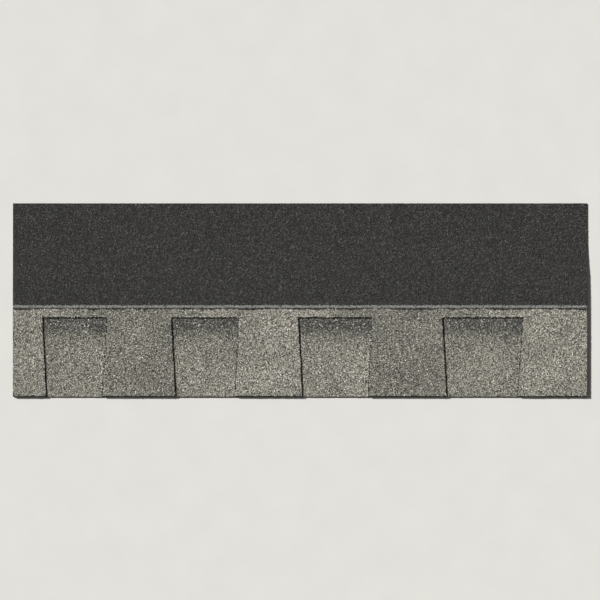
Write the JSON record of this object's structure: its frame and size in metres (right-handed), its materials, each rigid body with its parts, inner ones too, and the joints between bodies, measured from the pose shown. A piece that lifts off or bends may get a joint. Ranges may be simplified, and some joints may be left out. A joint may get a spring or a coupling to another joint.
{
  "type": "laminated asphalt shingle",
  "caption": "Laminated strip shingle for pitched roofs: a granule-faced sheet cut into flared teeth, bonded over a backer strip, with sealant dashes and release film on its back.",
  "frame": {"origin": "middle of the strip's footprint, on the floor that it lies on", "axes": "+X along the strip, +Y up the roof from the butt edge to the top edge, +Z out of the weather face"},
  "size_m": [1, 0.337, 0.0062],
  "materials": {
    "tooth_granules": "matte",
    "backer_granules": "matte",
    "headlap_granules": "matte",
    "asphalt_coating": "matte",
    "sealant": "gloss",
    "release_film": "gloss"
  },
  "bodies": {
    "root": {"tooth_sheet": "tooth_granules", "backer_sheet": "backer_granules", "sealant_dashes": "sealant", "release_film": "release_film"}
  },
  "joints": []
}
